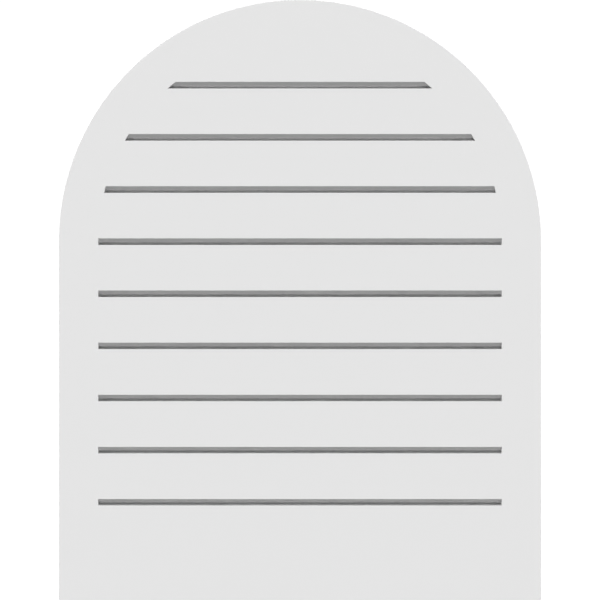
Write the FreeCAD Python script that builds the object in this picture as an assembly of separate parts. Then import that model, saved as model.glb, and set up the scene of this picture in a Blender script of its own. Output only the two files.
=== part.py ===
"""Round-top gable vent: one flat board with louvre slots cut through it.

Millimetres, +Z up. The origin is the middle of the bottom edge of the flat back face. The back lies in the
plane y = 0, against the wall, and the front face looks along -Y.
"""

import FreeCAD, Part
import math
import os

from FreeCAD import Vector

# Board
PANEL_WIDTH = 609.6
PANEL_HEIGHT = 762.0
PANEL_THICKNESS = 25.4
EDGE_EASE = 0.5  # rounding of the arris between the front face and the edges

# Layout of the slots in the front face
BORDER = 49.5  # plain board between the outline and the slot ends
CROWN_MARGIN = 103.6  # from the top of the arch down to the first slot
FOOT_MARGIN = 122.1  # from the last slot down to the bottom edge
SLOT_COUNT = 9

# Section of a slot
MOUTH_HEIGHT = 8.3  # opening in the front face
AIR_GAP = 3.5  # narrowest opening, between the sill and the drip nose above it
SILL_DEPTH = 15.0  # from the front face to where the floor starts to rise
BEVEL_ANGLE = 30.0  # bevel under the front edge of the slat above, from level
FALL_ANGLE = 1.0  # fall of the sill towards the front, so that rain drains out
RISE_ANGLE = 30.0  # rise of the slot from the sill to the back face

FRONT = -PANEL_THICKNESS
IN_FRONT = 2 * FRONT  # cutting tools start and end well clear of the board
BEHIND = PANEL_THICKNESS
SLOT_PITCH = (PANEL_HEIGHT - CROWN_MARGIN - FOOT_MARGIN - MOUTH_HEIGHT) / (SLOT_COUNT - 1)


def arch_face(inset, y):
    """Upright face at depth y: flat foot, straight sides and half-round top, all moved in by inset."""
    radius = PANEL_WIDTH / 2 - inset
    spring_line = PANEL_HEIGHT - PANEL_WIDTH / 2
    foot_left = Vector(-radius, y, inset)
    foot_right = Vector(radius, y, inset)
    spring_left = Vector(-radius, y, spring_line)
    spring_right = Vector(radius, y, spring_line)
    crown = Vector(0, y, spring_line + radius)
    outline = [
        Part.LineSegment(foot_left, foot_right),
        Part.LineSegment(foot_right, spring_right),
        Part.Arc(spring_right, crown, spring_left),
        Part.LineSegment(spring_left, foot_left),
    ]
    return Part.Face(Part.Wire([segment.toShape() for segment in outline]))


def plain_board():
    """The board before the slots are cut, with its front arris eased."""
    board = arch_face(inset=0, y=0).extrude(Vector(0, FRONT, 0))
    front_edges = [edge for edge in board.Edges if all(abs(v.Y - FRONT) < EDGE_EASE for v in edge.Vertexes)]
    return board.makeFillet(EDGE_EASE, front_edges)


def slot_field():
    """The zone that the slots may fill: it follows the outline, one border in from it."""
    return arch_face(inset=BORDER, y=IN_FRONT).extrude(Vector(0, BEHIND - IN_FRONT, 0))


def slot_section(foot):
    """Upright section of one slot, whose mouth starts at height foot in the front face.

    A nearly level sill drains to the front. Behind it the slot rises to the back, which keeps rain out and
    blocks the view. A bevel under the slat above runs down and in from the mouth to a drip nose.
    """
    fall = math.tan(math.radians(FALL_ANGLE))
    bevel = math.tan(math.radians(BEVEL_ANGLE))
    rise = math.tan(math.radians(RISE_ANGLE))
    mouth_top = foot + MOUTH_HEIGHT
    nose_depth = (MOUTH_HEIGHT - AIR_GAP) / (bevel + fall)
    sill_end = Vector(0, FRONT + SILL_DEPTH, foot + SILL_DEPTH * fall)
    nose = Vector(0, FRONT + nose_depth, mouth_top - nose_depth * bevel)
    corners = [
        Vector(0, IN_FRONT, foot),
        Vector(0, FRONT, foot),
        sill_end,
        Vector(0, BEHIND, sill_end.z + (BEHIND - sill_end.y) * rise),
        Vector(0, BEHIND, nose.z + (BEHIND - nose.y) * rise),
        nose,
        Vector(0, FRONT, mouth_top),
        Vector(0, IN_FRONT, mouth_top),
    ]
    return Part.Face(Part.makePolygon(corners + corners[:1]))


def slot_cut(foot, field):
    """One slot from side to side of the board, trimmed to the slot field."""
    bar = slot_section(foot).extrude(Vector(PANEL_WIDTH, 0, 0))
    bar.translate(Vector(-PANEL_WIDTH / 2, 0, 0))
    return bar.common(field)


def vent_panel():
    """The finished vent: the board with all its slots, evenly spaced up from the lowest."""
    field = slot_field()
    slots = [slot_cut(FOOT_MARGIN + row * SLOT_PITCH, field) for row in range(SLOT_COUNT)]
    return plain_board().cut(slots)


panel = vent_panel()
os.makedirs("parts", exist_ok=True)
panel.exportStep("parts/vent_panel.step")

box = panel.optimalBoundingBox()
print("vent_panel: %d solid, valid %s" % (len(panel.Solids), panel.isValid()))
print("size %.2f x %.2f x %.2f mm, volume %.0f mm3" % (box.XLength, box.YLength, box.ZLength, panel.Volume))
print("slot pitch %.3f mm" % SLOT_PITCH)
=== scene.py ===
# %% [markdown]
# # A round-top gable vent
#
# The object is one flat board of white foamed plastic with a half-round top. Nine level louvre slots
# are cut through it, and the slats between them stay joined to a plain border.
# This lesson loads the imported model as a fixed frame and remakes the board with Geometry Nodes, so that
# its rim is smooth and its edges are eased. Then the skin and the cut faces each get a finish of their
# own, and a plain studio is set up.

import math

import bpy
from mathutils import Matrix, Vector


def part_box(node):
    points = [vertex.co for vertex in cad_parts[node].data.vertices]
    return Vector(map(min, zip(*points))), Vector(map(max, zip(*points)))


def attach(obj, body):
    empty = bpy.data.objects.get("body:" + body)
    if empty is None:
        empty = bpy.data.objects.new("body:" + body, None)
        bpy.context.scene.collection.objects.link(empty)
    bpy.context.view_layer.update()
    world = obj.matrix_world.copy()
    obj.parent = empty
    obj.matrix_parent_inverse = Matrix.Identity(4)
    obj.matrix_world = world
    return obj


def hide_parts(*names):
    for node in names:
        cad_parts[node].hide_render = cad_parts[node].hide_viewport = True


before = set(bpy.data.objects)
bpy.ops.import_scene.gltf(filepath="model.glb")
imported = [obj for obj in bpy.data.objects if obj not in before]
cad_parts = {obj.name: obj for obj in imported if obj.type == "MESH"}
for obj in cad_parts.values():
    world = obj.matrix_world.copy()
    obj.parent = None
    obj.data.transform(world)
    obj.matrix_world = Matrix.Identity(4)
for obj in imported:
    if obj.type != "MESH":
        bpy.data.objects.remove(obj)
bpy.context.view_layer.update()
board_low, board_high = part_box("vent_panel")
print("board box:", [round(v, 4) for v in board_low], [round(v, 4) for v in board_high])

# %% [markdown]
# ## Nodes as expressions
#
# Node trees are easier to read as formulas. This class wraps one socket: arithmetic on it adds Math
# nodes, and `add` makes any other node from its type, its settings and the values or links of its
# sockets. The same class serves geometry and shading.


# %% A socket that can stand in a formula
class Flow:
    """One output socket of a node tree, or the bare tree where no socket is given."""

    def __init__(self, tree, socket=None):
        self.tree = tree
        self.socket = socket

    def add(self, kind, settings=None, inputs=None, output=0):
        """Adds a node: settings first, then the values or links of its inputs. Returns one output."""
        node = self.tree.nodes.new(kind)
        for name, value in (settings or {}).items():
            setattr(node, name, value)
        for key, value in (inputs or {}).items():
            for item in value if isinstance(value, list) else [value]:
                if isinstance(item, Flow):
                    item.feed(node.inputs[key])
                else:
                    node.inputs[key].default_value = item
        return Flow(self.tree, node.outputs[output] if len(node.outputs) else None)

    def other(self, output):
        """Another output of the same node."""
        return Flow(self.tree, self.socket.node.outputs[output])

    def feed(self, entry):
        """Links this output to an input socket of another node."""
        self.tree.links.new(self.socket, entry)

    def math(self, operation, *values):
        """A Math node on numbers or formulas."""
        return self.add("ShaderNodeMath", {"operation": operation}, dict(enumerate(values)))

    def __add__(self, value):
        return self.math("ADD", self, value)

    def __radd__(self, value):
        return self.math("ADD", value, self)

    def __sub__(self, value):
        return self.math("SUBTRACT", self, value)

    def __rsub__(self, value):
        return self.math("SUBTRACT", value, self)

    def __mul__(self, value):
        return self.math("MULTIPLY", self, value)

    def __rmul__(self, value):
        return self.math("MULTIPLY", value, self)

    def __truediv__(self, value):
        return self.math("DIVIDE", self, value)

    def __lt__(self, value):
        return self.math("LESS_THAN", self, value)

    def __gt__(self, value):
        return self.math("GREATER_THAN", self, value)


def xyz(flow, x, y, z):
    """A vector from three numbers or formulas."""
    return flow.add("ShaderNodeCombineXYZ", {}, {"X": x, "Y": y, "Z": z})


def depth_of(flow, vector):
    """The Y part of a vector: Y runs through the board, from front to back."""
    return flow.add("ShaderNodeSeparateXYZ", {}, {"Vector": vector}, "Y")


print("formula class ready")

# %% [markdown]
# ## Geometry trees with named inputs
#
# Each tree gets its sizes as named inputs, so that it can serve a vent of another size. A modifier takes
# its values by the socket's identifier and not by its name, so one helper looks the identifiers up.

# %% Helpers for geometry trees
SOCKET_KINDS = {
    float: "NodeSocketFloat",
    int: "NodeSocketInt",
    bpy.types.Material: "NodeSocketMaterial",
}


def geometry_tree(name, sizes, takes_geometry=False):
    """A new tree with one input for each size. Returns its flow and its inputs by name."""
    tree = bpy.data.node_groups.new(name, "GeometryNodeTree")
    tree.interface.new_socket("Geometry", in_out="OUTPUT", socket_type="NodeSocketGeometry")
    if takes_geometry:
        tree.interface.new_socket("Geometry", in_out="INPUT", socket_type="NodeSocketGeometry")
    for label, value in sizes.items():
        tree.interface.new_socket(label, in_out="INPUT", socket_type=SOCKET_KINDS[type(value)])
    entry = tree.nodes.new("NodeGroupInput")
    return Flow(tree), {socket.name: Flow(tree, socket) for socket in entry.outputs}


def put_on(piece, tree, sizes):
    """Adds the tree to the piece as a modifier, with its inputs set by identifier."""
    modifier = piece.modifiers.new(tree.name, "NODES")
    modifier.node_group = tree
    for item in tree.interface.items_tree:
        if item.in_out == "INPUT" and item.name in sizes:
            modifier[item.identifier] = sizes[item.name]


print("socket kinds:", sorted(SOCKET_KINDS.values()))

# %% [markdown]
# ## Prisms
#
# Every form of this vent is a flat outline pushed straight through: the board, the zone of the slots and
# the bar that cuts a slot. Extrude Mesh makes the walls and the far end but drops the first face, so a
# flipped copy of that face closes the prism.

# %% A closed prism from a flat face
MERGE_DISTANCE = 1e-6


def prism(flow, face, travel):
    """Closed solid between a flat face and its copy, moved by travel along the face's normal."""
    inputs = {"Mesh": face, "Offset": travel, "Individual": False}
    walls = flow.add("GeometryNodeExtrudeMesh", {"mode": "FACES"}, inputs)
    base = flow.add("GeometryNodeFlipFaces", {}, {"Mesh": face})
    joined = flow.add("GeometryNodeJoinGeometry", {}, {"Geometry": [walls, base]})
    return flow.add("GeometryNodeMergeByDistance", {}, {"Geometry": joined, "Distance": MERGE_DISTANCE})


print("points closer than", MERGE_DISTANCE, "m are merged")

# %% [markdown]
# ## The round-top outline
#
# On the real board the outline is a flat foot, two straight sides and half a circle. It could be drawn
# point by point, but it follows a rule: the points of one ring are laid along the arc by their number,
# and the last two go to the corners of the foot. Moved in by an inset, the same rule gives the zone that
# the slots may fill.

# %% Tree of the round-top prism
ARC_STEPS = 122  # keeps the points of the arc clear of the slot corners

# The zeros only give the kind of each input: every use of the tree sets its own sizes.
arch_sizes = {"Width": 0.0, "Height": 0.0, "Inset": 0.0, "Back": 0.0, "Front": 0.0}
flow, size = geometry_tree("round_top_prism", arch_sizes)
arch_tree = flow.tree
radius = size["Width"] * 0.5 - size["Inset"]
spring_line = size["Height"] - size["Width"] * 0.5
number = flow.add("GeometryNodeInputIndex")
angle = number * (math.pi / ARC_STEPS)
on_arc = number < ARC_STEPS + 0.5
foot_side = (number - (ARC_STEPS + 1)) * 2 - 1
ring_x = radius * (on_arc * flow.math("COSINE", angle) + (1 - on_arc) * foot_side)
ring_z = on_arc * (spring_line + radius * flow.math("SINE", angle)) + (1 - on_arc) * size["Inset"]
ring = flow.add("GeometryNodeMeshCircle", {"fill_type": "NGON"}, {"Vertices": ARC_STEPS + 3})
place = xyz(flow, ring_x, size["Back"], ring_z)
outline = flow.add("GeometryNodeSetPosition", {}, {"Geometry": ring, "Position": place})
solid = prism(flow, outline, xyz(flow, 0.0, size["Front"] - size["Back"], 0.0))
flow.add("NodeGroupOutput", {}, {"Geometry": solid})
print("round-top prism:", len(arch_tree.nodes), "nodes")

# %% [markdown]
# ## The plain board
#
# The sheet is sawn to the outline, and its front arris is taken off with sandpaper. A bevel on every edge
# would also round the back, which lies flat on the wall. So only the front rim gets a bevel weight, and a
# Bevel modifier rounds just those edges.
# Sizes are in metres, in the frame of the model: the back lies in the plane y = 0, the front looks along
# -Y and the bottom edge is at z = 0. The thickness is read from the frame. Width and height are written
# out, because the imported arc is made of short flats, and its crown falls a little short.

# %% Tree of the plain board
BOARD_WIDTH = 0.6096
BOARD_HEIGHT = 0.762
BOARD_THICKNESS = board_high.y - board_low.y


def edges_in_front(flow, limit):
    """1 for edges with both ends in front of the depth limit."""
    first_end = flow.add("GeometryNodeInputMeshEdgeVertices", output="Position 1")
    second_end = first_end.other("Position 2")
    return (depth_of(flow, first_end) < limit) * (depth_of(flow, second_end) < limit)


def weigh_edges(flow, mesh, weight):
    """Stores the weight by which a Bevel modifier picks the edges that it rounds."""
    settings = {"data_type": "FLOAT", "domain": "EDGE"}
    inputs = {"Geometry": mesh, "Name": "bevel_weight_edge", "Value": weight}
    return flow.add("GeometryNodeStoreNamedAttribute", settings, inputs)


board_sizes = {"Width": BOARD_WIDTH, "Height": BOARD_HEIGHT, "Thickness": BOARD_THICKNESS}
flow, size = geometry_tree("plain_board", board_sizes)
board_tree = flow.tree
front = 0 - size["Thickness"]
arch_inputs = {
    "Width": size["Width"],
    "Height": size["Height"],
    "Inset": 0.0,
    "Back": 0.0,
    "Front": front,
}
board = flow.add("GeometryNodeGroup", {"node_tree": arch_tree}, arch_inputs)
halfway = front * 0.5
board = weigh_edges(flow, board, edges_in_front(flow, halfway))
flow.add("NodeGroupOutput", {}, {"Geometry": board})
print("plain board:", len(board_tree.nodes), "nodes, %.1f mm thick" % (BOARD_THICKNESS * 1000))

# %% [markdown]
# ## Helpers for the finish
#
# Both finishes are a colour between two close tones, a roughness between two limits and a fine relief.
# Noise on the board's own coordinates drives all three, so the detail stays put from every side.

# %% Helpers for materials
NOISE_DETAIL = 2.0
MIX_LOW = 6  # a Mix node's sockets for numbers and colours share their names, so they go by place
MIX_HIGH = 7
MIX_RESULT = 2


def new_material(name):
    """A material with one Principled shader. Returns it, its flow and the shader node."""
    material = bpy.data.materials.new(name)
    material.use_nodes = True
    return material, Flow(material.node_tree), material.node_tree.nodes["Principled BSDF"]


def noise(flow, place, per_metre):
    """Noise from 0 to 1 whose grains are about one over per_metre wide."""
    inputs = {"Vector": place, "Scale": per_metre, "Detail": NOISE_DETAIL, "Roughness": 0.5}
    return flow.add("ShaderNodeTexNoise", {"noise_dimensions": "3D"}, inputs)


def grey(level):
    return (level, level, level, 1.0)


def tone(flow, share, limits):
    """A grey between two limits."""
    low, high = limits
    inputs = {"Factor": share, MIX_LOW: grey(low), MIX_HIGH: grey(high)}
    return flow.add("ShaderNodeMix", {"data_type": "RGBA"}, inputs, MIX_RESULT)


def between(share, limits):
    """A number between two limits."""
    low, high = limits
    return low + share * (high - low)


def finish(flow, shader, color, roughness, relief, depth):
    """Links colour, roughness and relief to the shader."""
    bump = flow.add("ShaderNodeBump", {}, {"Strength": 1.0, "Distance": depth, "Height": relief})
    color.feed(shader.inputs["Base Color"])
    roughness.feed(shader.inputs["Roughness"])
    bump.feed(shader.inputs["Normal"])


print("finish helpers ready")

# %% [markdown]
# ## The skin of the sheet
#
# Foamed plastic sheet is extruded with a smooth matte skin on both faces. From a step away it looks
# plain, so the detail stays fine and faint: a slight mottle, uneven gloss and a soft grain. The gloss is
# low, because the board shows the same even white from top to bottom.

# %% Material of the skin
SKIN_TONE = (0.767, 0.775)
SKIN_ROUGHNESS = (0.62, 0.74)
SKIN_RELIEF = 0.00002
CLOUDS_PER_METRE = 14.0
GRAINS_PER_METRE = 900.0
GLOSS_PATCHES_PER_METRE = 70.0


def sheet_skin():
    material, flow, shader = new_material("sheet_skin")
    place = flow.add("ShaderNodeTexCoord", output="Object")
    clouds = noise(flow, place, CLOUDS_PER_METRE)
    grains = noise(flow, place, GRAINS_PER_METRE)
    color = tone(flow, clouds * 0.6 + grains * 0.4, SKIN_TONE)
    roughness = between(noise(flow, place, GLOSS_PATCHES_PER_METRE), SKIN_ROUGHNESS)
    finish(flow, shader, color, roughness, grains, SKIN_RELIEF)
    return material


skin = sheet_skin()
print("skin:", skin.name, len(skin.node_tree.nodes), "nodes")

# %% [markdown]
# ## The cut faces
#
# Where the sheet is sawn or routed, the fine cells of the foam lie open and the tool leaves faint
# streaks, so the cut faces are a little duller and rougher than the skin. Their colour is also darker
# than the skin's: partly for the open cells, and partly as painted shade that makes the slot interiors
# read darker. Voronoi cells give the foam. Noise that is stretched along the slots gives the streaks.

# %% Material of the cut faces
# The cut-face tone is darker than the skin partly for the open foam cells and partly as painted shade in
# the slots
CUT_TONE_WITH_PAINTED_SHADE = (0.66, 0.7)
CUT_ROUGHNESS = (0.74, 0.88)
CUT_RELIEF = 0.00004
CELLS_PER_METRE = 2600.0
STREAKS_PER_METRE = 1500.0
STREAK_STRETCH = (0.02, 1.0, 1.0)
ROUGH_PATCHES_PER_METRE = 300.0


def cut_face():
    material, flow, shader = new_material("cut_face")
    place = flow.add("ShaderNodeTexCoord", output="Object")
    cell_inputs = {"Vector": place, "Scale": CELLS_PER_METRE}
    cells = flow.add("ShaderNodeTexVoronoi", {"feature": "F1"}, cell_inputs, "Distance")
    stretched = flow.add("ShaderNodeMapping", {}, {"Vector": place, "Scale": STREAK_STRETCH})
    streaks = noise(flow, stretched, STREAKS_PER_METRE)
    color = tone(flow, cells * 0.6 + streaks * 0.4, CUT_TONE_WITH_PAINTED_SHADE)
    roughness = between(noise(flow, place, ROUGH_PATCHES_PER_METRE), CUT_ROUGHNESS)
    finish(flow, shader, color, roughness, cells * 0.7 + streaks * 0.5, CUT_RELIEF)
    return material


cut = cut_face()
print("cut faces:", cut.name, len(cut.node_tree.nodes), "nodes")

# %% [markdown]
# ## The section of a slot
#
# A louvre has to let air out and keep rain and views out. Here a nearly level sill drains to the front,
# the slot rises behind it to the back, and a bevel under the slat above runs down and in from the mouth
# to a drip nose. Seen from the front, the bevel is the grey band of a slot, and the gap under the nose is
# the dark line below it.
# The section is a short list of corners, each with its depth and its height over the foot of the mouth.
# This cell and the next two build one tree.

# %% Sizes and section of a slot
BORDER = 0.0495
CROWN_MARGIN = 0.1036
FOOT_MARGIN = 0.1221
SLOT_COUNT = 9
MOUTH_HEIGHT = 0.0083
AIR_GAP = 0.0035
SILL_DEPTH = 0.015
BEVEL_ANGLE = math.radians(30)
FALL_ANGLE = math.radians(1)
RISE_ANGLE = math.radians(30)

slot_pitch = (BOARD_HEIGHT - CROWN_MARGIN - FOOT_MARGIN - MOUTH_HEIGHT) / (SLOT_COUNT - 1)
slot_sizes = {
    **board_sizes,
    "Border": BORDER,
    "Lowest slot": FOOT_MARGIN,
    "Pitch": slot_pitch,
    "Count": SLOT_COUNT,
    "Mouth": MOUTH_HEIGHT,
    "Air gap": AIR_GAP,
    "Sill": SILL_DEPTH,
    "Bevel slope": math.tan(BEVEL_ANGLE),
    "Fall": math.tan(FALL_ANGLE),
    "Rise": math.tan(RISE_ANGLE),
    "Skin": skin,
    "Cut face": cut,
}
flow, size = geometry_tree("louvre_slots", slot_sizes, takes_geometry=True)
slot_tree = flow.tree
thickness = size["Thickness"]
front = 0 - thickness
in_front = front * 2
nose_depth = (size["Mouth"] - size["Air gap"]) / (size["Bevel slope"] + size["Fall"])
nose = size["Mouth"] - nose_depth * size["Bevel slope"]
sill_end = size["Sill"] * size["Fall"]
section_corners = [
    (in_front, 0.0),
    (front, 0.0),
    (front + size["Sill"], sill_end),
    (thickness, sill_end + (2 * thickness - size["Sill"]) * size["Rise"]),
    (thickness, nose + (2 * thickness - nose_depth) * size["Rise"]),
    (front + nose_depth, nose),
    (front, size["Mouth"]),
    (in_front, size["Mouth"]),
]
print("slot pitch %.1f mm, %d corners in the section" % (slot_pitch * 1000, len(section_corners)))

# %% [markdown]
# ## Nine slots from one bar
#
# On the real board the same slot is routed again and again, one pitch higher each time. So one bar with
# that section is made, from side to side of the board, and repeated on a line of points. A Boolean then
# trims the bars to the slot zone, which gives the upper slots their slanted ends.


# %% Bars, trimmed to the slot zone
def pick_by_number(flow, choices):
    """The vector whose place in the list is the number of the point."""
    switch = flow.tree.nodes.new("GeometryNodeIndexSwitch")
    switch.data_type = "VECTOR"
    while len(switch.index_switch_items) < len(choices):
        switch.index_switch_items.new()
    flow.add("GeometryNodeInputIndex").feed(switch.inputs["Index"])
    for place, choice in enumerate(choices):
        choice.feed(switch.inputs[place + 1])
    return Flow(flow.tree, switch.outputs[0])


left = size["Width"] * -0.5
ring = flow.add("GeometryNodeMeshCircle", {"fill_type": "NGON"}, {"Vertices": len(section_corners)})
corner = pick_by_number(flow, [xyz(flow, left, y, z) for y, z in section_corners])
section = flow.add("GeometryNodeSetPosition", {}, {"Geometry": ring, "Position": corner})
bar = prism(flow, section, xyz(flow, size["Width"], 0.0, 0.0))
line_inputs = {
    "Count": size["Count"],
    "Start Location": xyz(flow, 0.0, 0.0, size["Lowest slot"]),
    "Offset": xyz(flow, 0.0, 0.0, size["Pitch"]),
}
rows = flow.add("GeometryNodeMeshLine", {"mode": "OFFSET"}, line_inputs)
bars = flow.add("GeometryNodeInstanceOnPoints", {}, {"Points": rows, "Instance": bar})
bars = flow.add("GeometryNodeRealizeInstances", {}, {"Geometry": bars})
zone_inputs = {
    "Width": size["Width"],
    "Height": size["Height"],
    "Inset": size["Border"],
    "Back": thickness,
    "Front": in_front,
}
zone = flow.add("GeometryNodeGroup", {"node_tree": arch_tree}, zone_inputs)
trim = {"operation": "INTERSECT", "solver": "EXACT"}
slots = flow.add("GeometryNodeMeshBoolean", trim, {"Mesh 2": [bars, zone]})
print("slots so far:", len(slot_tree.nodes), "nodes")

# %% [markdown]
# ## Cutting the slots
#
# A second Boolean takes the slots out of the board. Their faces carry a mark, so that the edges where
# they meet the front can be found and weighted for a slight easing, as a router leaves it. Last, every
# face that isn't part of the two sheet faces gets the finish of cut plastic.

# %% Cut the slots and mark their edges
FRONT_SHARE = 0.99  # edges further forward than this share of the thickness lie in the front face
FACE_ON = 0.999  # a normal this close to the Y axis belongs to a sheet face

slots = flow.add("GeometryNodeSetMaterial", {}, {"Geometry": slots, "Material": size["Cut face"]})
wall_inputs = {"Geometry": slots, "Name": "slot_wall", "Value": 1}
slots = flow.add("GeometryNodeStoreNamedAttribute", {"data_type": "INT", "domain": "FACE"}, wall_inputs)
sheet = flow.add("GeometryNodeSetMaterial", {}, {"Geometry": size["Geometry"], "Material": size["Skin"]})
take_out = {"operation": "DIFFERENCE", "solver": "EXACT"}
panel = flow.add("GeometryNodeMeshBoolean", take_out, {"Mesh 1": sheet, "Mesh 2": slots})

slot_wall = flow.add("GeometryNodeInputNamedAttribute", {"data_type": "INT"}, {"Name": "slot_wall"})
wall_ends = flow.add("GeometryNodeMeshFaceSetBoundaries", {}, {0: slot_wall})
panel = weigh_edges(flow, panel, wall_ends * edges_in_front(flow, front * FRONT_SHARE))

facing = depth_of(flow, flow.add("GeometryNodeInputNormal"))
is_cut = flow.math("ABSOLUTE", facing) < FACE_ON
panel = flow.add("GeometryNodeRealizeInstances", {}, {"Geometry": panel})
cut_inputs = {"Geometry": panel, "Selection": is_cut, "Material": size["Cut face"]}
panel = flow.add("GeometryNodeSetMaterial", {}, cut_inputs)
flow.add("NodeGroupOutput", {}, {"Geometry": panel})
print("louvre slots:", len(slot_tree.nodes), "nodes")

# %% [markdown]
# ## From modifiers to a plain mesh
#
# The board, its eased arris, its slots and their eased edges stand one after another in the modifier
# stack. The finished shape is turned into a plain mesh, because modifiers must be gone before the board
# joins the frame.

# %% Make the board's mesh
EDGE_EASE = 0.0005
SLOT_EASE = 0.0003
EASE_SEGMENTS = 3


def ease_edges(piece, width):
    """Rounds the edges that carry a bevel weight."""
    ease = piece.modifiers.new("eased_edges", "BEVEL")
    ease.limit_method = "WEIGHT"
    ease.width = width
    ease.segments = EASE_SEGMENTS
    ease.use_clamp_overlap = False  # nothing is near enough to overlap, and the limit narrows the bevel


maker = bpy.data.objects.new("board_maker", bpy.data.meshes.new("board_maker"))
bpy.context.scene.collection.objects.link(maker)
put_on(maker, board_tree, board_sizes)
ease_edges(maker, EDGE_EASE)
put_on(maker, slot_tree, slot_sizes)
ease_edges(maker, SLOT_EASE)
depsgraph = bpy.context.evaluated_depsgraph_get()
panel_mesh = bpy.data.meshes.new_from_object(maker.evaluated_get(depsgraph), depsgraph=depsgraph)
bpy.data.objects.remove(maker)
panel_mesh.materials.pop(index=list(panel_mesh.materials).index(None))
print("board:", len(panel_mesh.vertices), "vertices,", len(panel_mesh.polygons), "faces")
print("finishes:", [material.name for material in panel_mesh.materials])

# %% [markdown]
# ## Shading and place
#
# The large faces of this board are true planes, so they are shaded flat. The small ones belong to the
# rim, the slot ends and the eased edges, and are shaded smooth up to their sharp edges. The new board
# then takes the place of the model's own.

# %% Shade the board and put it on its body
SHARP_ANGLE = math.radians(40)
FLAT_AREA = 0.001  # square metres

panel_mesh.set_sharp_from_angle(angle=SHARP_ANGLE)
for face in panel_mesh.polygons:
    face.use_smooth = face.area < FLAT_AREA
vent = bpy.data.objects.new("louvre_board", panel_mesh)
bpy.context.scene.collection.objects.link(vent)
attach(vent, "root")
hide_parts("vent_panel")
print("flat faces:", sum(not face.use_smooth for face in panel_mesh.polygons))

# %% [markdown]
# ## Background and floor
#
# The background is white where it is seen, straight or as a reflection, and dim as a light, so that it
# doesn't wash out the board. The floor works the same way: it looks white and takes shadows, but to the
# board it is an even, weaker glow from below. Behind the board that glow is stronger, so that the back
# reads as well.

# %% Background and floor
AMBIENT = 0.12
BACKDROP_SEEN = 1.05  # just over white, so that no noise shows in it
FLOOR_SIZE = 60.0
FLOOR_BOUNCE = 0.38
FLOOR_BOUNCE_BEHIND = 0.8
FLOOR_SEEN = 0.5
FLOOR_GLOW = 0.5


def seen_directly(flow):
    """1 for rays that come from the camera, straight or by way of a gloss or glass."""
    path = flow.add("ShaderNodeLightPath", output="Is Camera Ray")
    seen = path + path.other("Is Glossy Ray") + path.other("Is Transmission Ray")
    return flow.math("MINIMUM", seen, 1.0)


def studio_background():
    world = bpy.data.worlds.new("studio")
    world.use_nodes = True
    bpy.context.scene.world = world
    background = world.node_tree.nodes["Background"]
    background.inputs["Color"].default_value = grey(1.0)
    strength = between(seen_directly(Flow(world.node_tree)), (AMBIENT, BACKDROP_SEEN))
    strength.feed(background.inputs["Strength"])


def floor_finish():
    material = bpy.data.materials.new("floor")
    material.use_nodes = True
    material.node_tree.nodes.remove(material.node_tree.nodes["Principled BSDF"])
    flow = Flow(material.node_tree)
    behind = depth_of(flow, flow.add("ShaderNodeTexCoord", output="Object")) > 0.0
    bounce = between(behind, (FLOOR_BOUNCE, FLOOR_BOUNCE_BEHIND))
    dim = flow.add("ShaderNodeEmission", {}, {"Color": grey(1.0), "Strength": bounce})
    pale = flow.add("ShaderNodeBsdfDiffuse", {}, {"Color": grey(FLOOR_SEEN)})
    glow = flow.add("ShaderNodeEmission", {}, {"Color": grey(1.0), "Strength": FLOOR_GLOW})
    bright = flow.add("ShaderNodeAddShader", {}, {0: pale, 1: glow})
    surface = flow.add("ShaderNodeMixShader", {}, {0: seen_directly(flow), 1: dim, 2: bright})
    surface.feed(flow.tree.nodes["Material Output"].inputs["Surface"])
    return material


def studio_floor():
    half = FLOOR_SIZE / 2
    corners = [(-half, -half, 0), (half, -half, 0), (half, half, 0), (-half, half, 0)]
    mesh = bpy.data.meshes.new("floor")
    mesh.from_pydata(corners, [], [(0, 1, 2, 3)])
    mesh.materials.append(floor_finish())
    floor = bpy.data.objects.new("floor", mesh)
    bpy.context.scene.collection.objects.link(floor)


studio_background()
studio_floor()
print("floor %.0f m wide" % FLOOR_SIZE)

# %% [markdown]
# ## Lamps
#
# Sun lamps shine evenly over the whole board, as large soft boxes far away would. The main one stands in
# front and above, and shades the slots as daylight does. The weaker ones light the back and the two
# sides. Seen from the side they come down more steeply than the slots rise, so no beam passes straight
# through to the front.

# %% Lamps
LAMPS = {  # direction in which the light travels, strength, and width in degrees
    "front_light": ((0.0, 0.84, -0.545), 2.73, 7),
    "back_light": ((0.1, -0.35, -1.0), 1.1, 20),
    "left_light": ((1.0, -0.15, -0.4), 1.2, 20),
    "right_light": ((-1.0, -0.15, -0.4), 1.2, 20),
}


def sun(name, travel, strength, width):
    lamp = bpy.data.lights.new(name, "SUN")
    lamp.energy = strength
    lamp.angle = math.radians(width)
    holder = bpy.data.objects.new(name, lamp)
    holder.rotation_mode = "QUATERNION"
    holder.rotation_quaternion = Vector(travel).to_track_quat("-Z", "Y")
    bpy.context.scene.collection.objects.link(holder)


for name, (travel, strength, width) in LAMPS.items():
    sun(name, travel, strength, width)
print("lamps:", sorted(LAMPS))

# %% [markdown]
# ## Camera
#
# The view is square on, with hardly any perspective, so a long lens stands far off. The picture's 600
# pixels span slightly less than the board's height, and its top edge touches the crown of the arch.

# %% Camera
LENS = 150.0
SENSOR = 36.0
PICTURE_SIZE = 600.0
BOARD_PIXELS = 481.74  # width of the board in the picture
FAR_CLIP = 100.0

picture_span = BOARD_WIDTH * PICTURE_SIZE / BOARD_PIXELS
distance = picture_span * LENS / SENSOR
camera = bpy.data.objects.new("camera", bpy.data.cameras.new("camera"))
camera.data.lens = LENS
camera.data.sensor_width = SENSOR
camera.data.clip_end = FAR_CLIP
camera.location = (0.0, board_low.y - distance, BOARD_HEIGHT - picture_span / 2)
camera.rotation_euler = (math.pi / 2, 0.0, 0.0)
bpy.context.scene.collection.objects.link(camera)
bpy.context.scene.camera = camera
bpy.context.scene.view_settings.view_transform = "Standard"
print("camera %.2f m away, %.1f mm across the picture" % (distance, picture_span * 1000))
